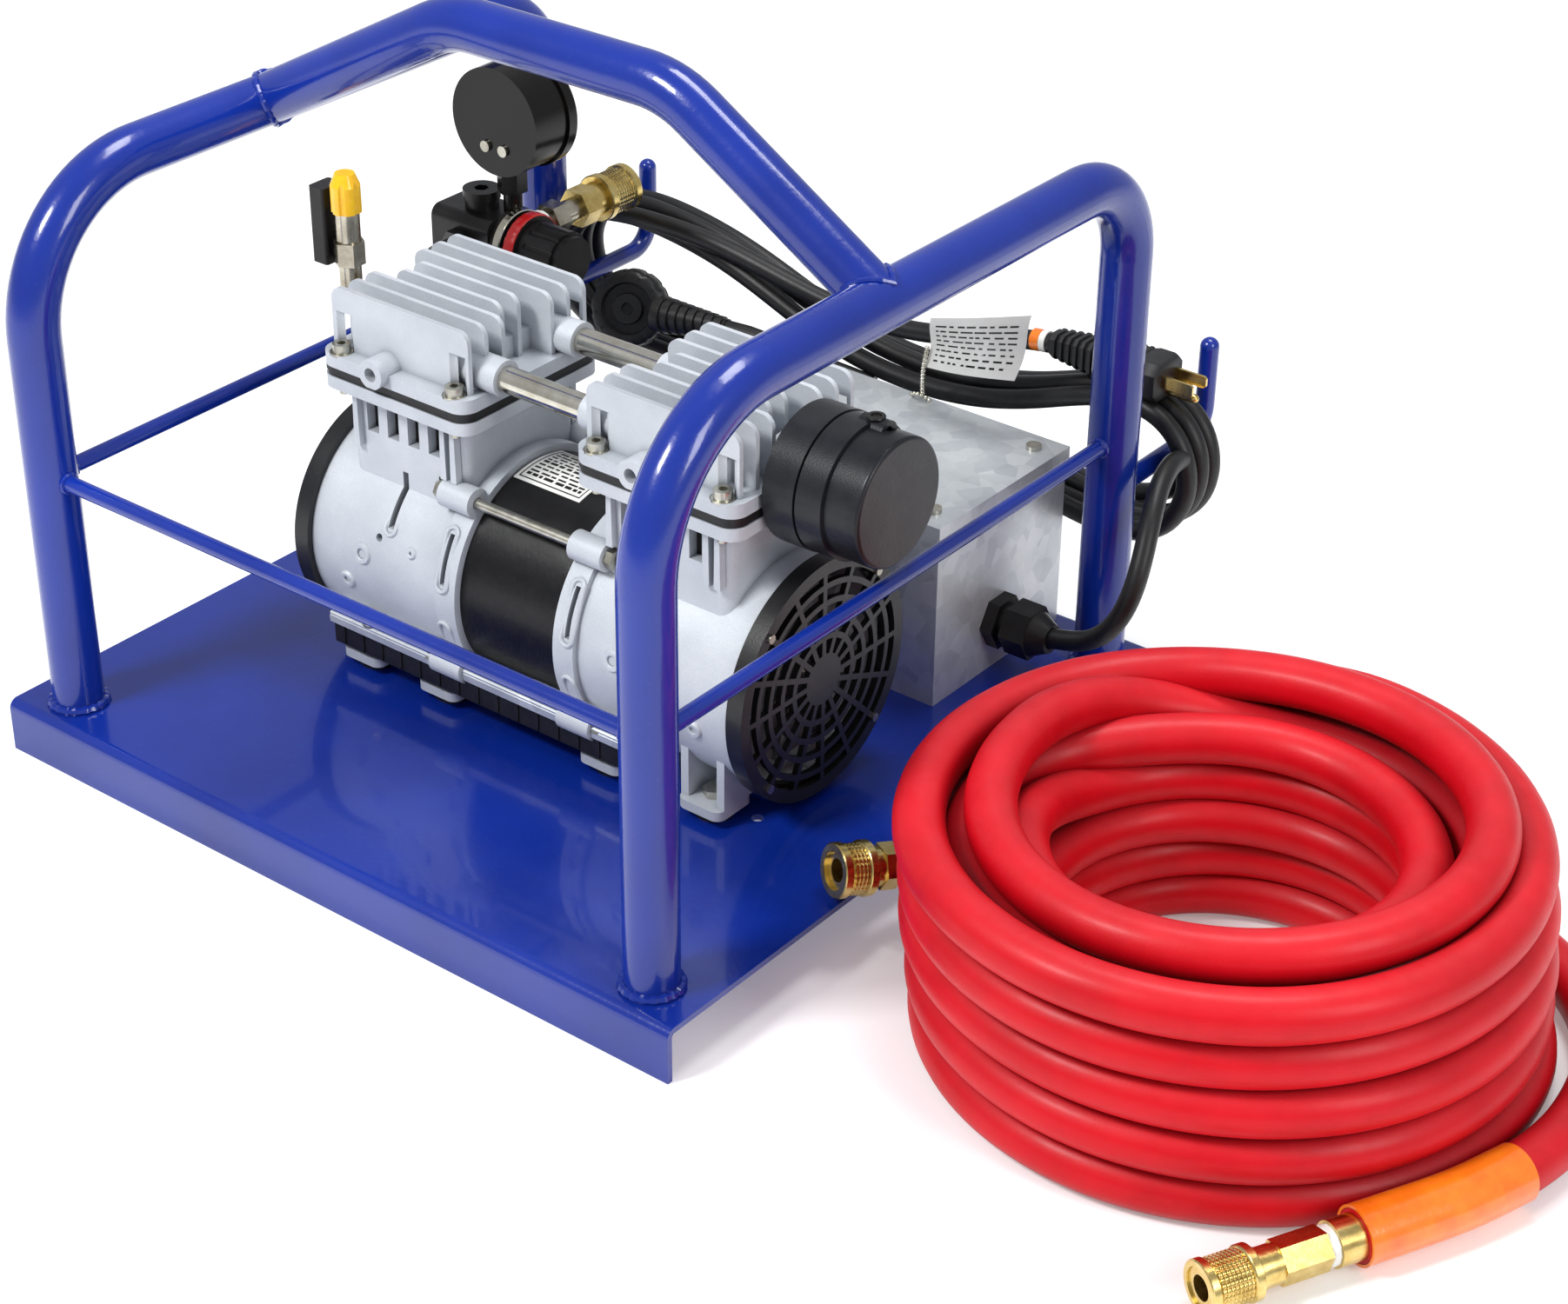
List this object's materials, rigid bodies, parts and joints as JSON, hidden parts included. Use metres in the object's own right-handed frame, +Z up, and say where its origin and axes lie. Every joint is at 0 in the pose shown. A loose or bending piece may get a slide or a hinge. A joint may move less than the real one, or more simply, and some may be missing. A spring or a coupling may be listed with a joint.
{
  "type": "air compressor",
  "caption": "Portable twin-cylinder oil-less air compressor on a blue tube frame, with a power cord on hooks and a coil of red air hose beside it.",
  "frame": {"origin": "middle of the frame's footprint, on the surface it stands on", "axes": "+X towards the end with the intake filter, +Y towards the rear where the gauge and outlet are, +Z up"},
  "size_m": [0.7595, 0.466, 0.3791],
  "materials": {
    "blue_paint": "glossy royal blue powder coat",
    "cast_alloy": "fine sand-blasted die casting",
    "black_lamination": "black enamelled steel laminations",
    "copper_wire": "enamelled copper wire",
    "zinc_steel": "zinc plated",
    "bright_steel": "ground and polished",
    "black_rubber": "matt black rubber",
    "black_grille": "moulded black nylon",
    "grey_nylon": "moulded grey nylon",
    "hard_alloy": "hard anodised bore",
    "charcoal_plastic": "satin charcoal moulding",
    "filter_felt": "pleated felt",
    "nickel_plate": "nickel plated brass",
    "yellow_knob": "glossy yellow",
    "black_plastic": "satin black",
    "nylon_line": "black nylon tube",
    "gauge_black": "gloss black enamel",
    "dial_white": "white dial with a plain scale",
    "needle_black": "black",
    "gauge_glass": "clear",
    "brass_fitting": "machined brass",
    "galvanised": "spangled zinc",
    "capacitor_case": "light grey",
    "red_hose": "red rubber cover",
    "orange_guard": "glossy orange sleeve",
    "lock_red": "red ring",
    "white_label": "plain white label or paper"
  },
  "bodies": {
    "root": {"base_plate": "blue_paint", "left_hoop": "blue_paint", "right_hoop": "blue_paint", "carry_handle": "blue_paint", "front_rail": "blue_paint", "side_rails": "blue_paint", "cord_hooks": "blue_paint", "left_housing": "cast_alloy", "right_housing": "cast_alloy", "left_head": "cast_alloy", "right_head": "cast_alloy", "valve_plates": "cast_alloy", "stator_core": "black_lamination", "stator_windings": "copper_wire", "foot_bolts": "zinc_steel", "tie_bolts": "zinc_steel", "machine_screws": "zinc_steel", "shaft_bearings": "zinc_steel", "transfer_tubes": "bright_steel", "rubber_mounts": "black_rubber", "head_gaskets": "black_rubber", "cord_lead": "black_rubber", "cord_hank": "black_rubber", "power_plug": "black_rubber", "pump_lead": "black_rubber", "left_fan_cover": "black_grille", "right_fan_cover": "black_grille", "cylinder_sleeves": "hard_alloy", "filter_base": "charcoal_plastic", "filter_cap": "charcoal_plastic", "filter_element": "filter_felt", "pipe_fittings": "nickel_plate", "relief_valve": "nickel_plate", "unloader_block": "black_plastic", "regulator_body": "black_plastic", "cable_gland": "black_plastic", "air_line": "nylon_line", "gauge_case": "gauge_black", "gauge_dial": "dial_white", "gauge_lens": "gauge_glass", "coupler_body": "brass_fitting", "electrical_box": "galvanised", "box_lid": "galvanised", "run_capacitor": "capacitor_case"},
    "crankshaft": {"motor_shaft": "bright_steel", "rotor": "bright_steel", "left_fan": "grey_nylon", "right_fan": "grey_nylon"},
    "left_piston_rod": {"left_piston": "grey_nylon"},
    "right_piston_rod": {"right_piston": "grey_nylon"},
    "relief_knob_body": {"relief_knob": "yellow_knob"},
    "regulator_knob_body": {"regulator_knob": "black_plastic"},
    "needle": {"gauge_needle": "needle_black"},
    "outlet_sleeve": {"coupler_sleeve": "brass_fitting"},
    "hose": {"hose_coil": "red_hose", "hose_tail": "red_hose", "hose_guard": "orange_guard", "hose_fittings": "brass_fitting"},
    "hose_sleeve_front": {"hose_sleeve_a": "brass_fitting"},
    "hose_sleeve_rear": {"hose_sleeve_b": "brass_fitting"}
  },
  "joints": [
    {"name": "shaft_spin", "type": "hinge", "parent": "root", "child": "crankshaft", "pos_m": [0.01, -0.0485, 0.094], "axis": [1, 0, 0], "continuous": true},
    {"name": "left_piston_slide", "type": "slide", "parent": "root", "child": "left_piston_rod", "axis": [0, 0, 1], "range_m": [-0.006, 0.006]},
    {"name": "right_piston_slide", "type": "slide", "parent": "root", "child": "right_piston_rod", "axis": [0, 0, 1], "range_m": [-0.006, 0.006]},
    {"name": "relief_knob_turn", "type": "hinge", "parent": "root", "child": "relief_knob_body", "pos_m": [-0.1455, -0.046, 0.246], "axis": [0, 0, 1], "range_deg": [0, 180]},
    {"name": "regulator_knob_turn", "type": "hinge", "parent": "root", "child": "regulator_knob_body", "pos_m": [-0.12, 0.072, 0.19], "axis": [1, 0, 0], "range_deg": [-360, 360]},
    {"name": "needle_swing", "type": "hinge", "parent": "root", "child": "needle", "pos_m": [-0.1485, 0.076, 0.258], "axis": [0, -1, 0], "range_deg": [0, 270], "stiffness_Nm_per_rad": 0.0004, "springref_deg": -22.92},
    {"name": "outlet_sleeve_slide", "type": "slide", "parent": "root", "child": "outlet_sleeve", "axis": [0, -1, 0], "range_m": [0, 0.005], "stiffness_N_per_m": 900, "springref_m": -0.004},
    {"name": "hose_lift", "type": "slide", "parent": "root", "child": "hose", "axis": [0, 0, 1], "range_m": [0, 0.4]},
    {"name": "hose_sleeve_front_slide", "type": "slide", "parent": "hose", "child": "hose_sleeve_front", "axis": [0.4472, 0.8944, 0], "range_m": [0, 0.005], "stiffness_N_per_m": 900, "springref_m": -0.004},
    {"name": "hose_sleeve_rear_slide", "type": "slide", "parent": "hose", "child": "hose_sleeve_rear", "axis": [0.4399, 0.8798, -0.18], "range_m": [0, 0.004], "stiffness_N_per_m": 900, "springref_m": -0.004}
  ]
}
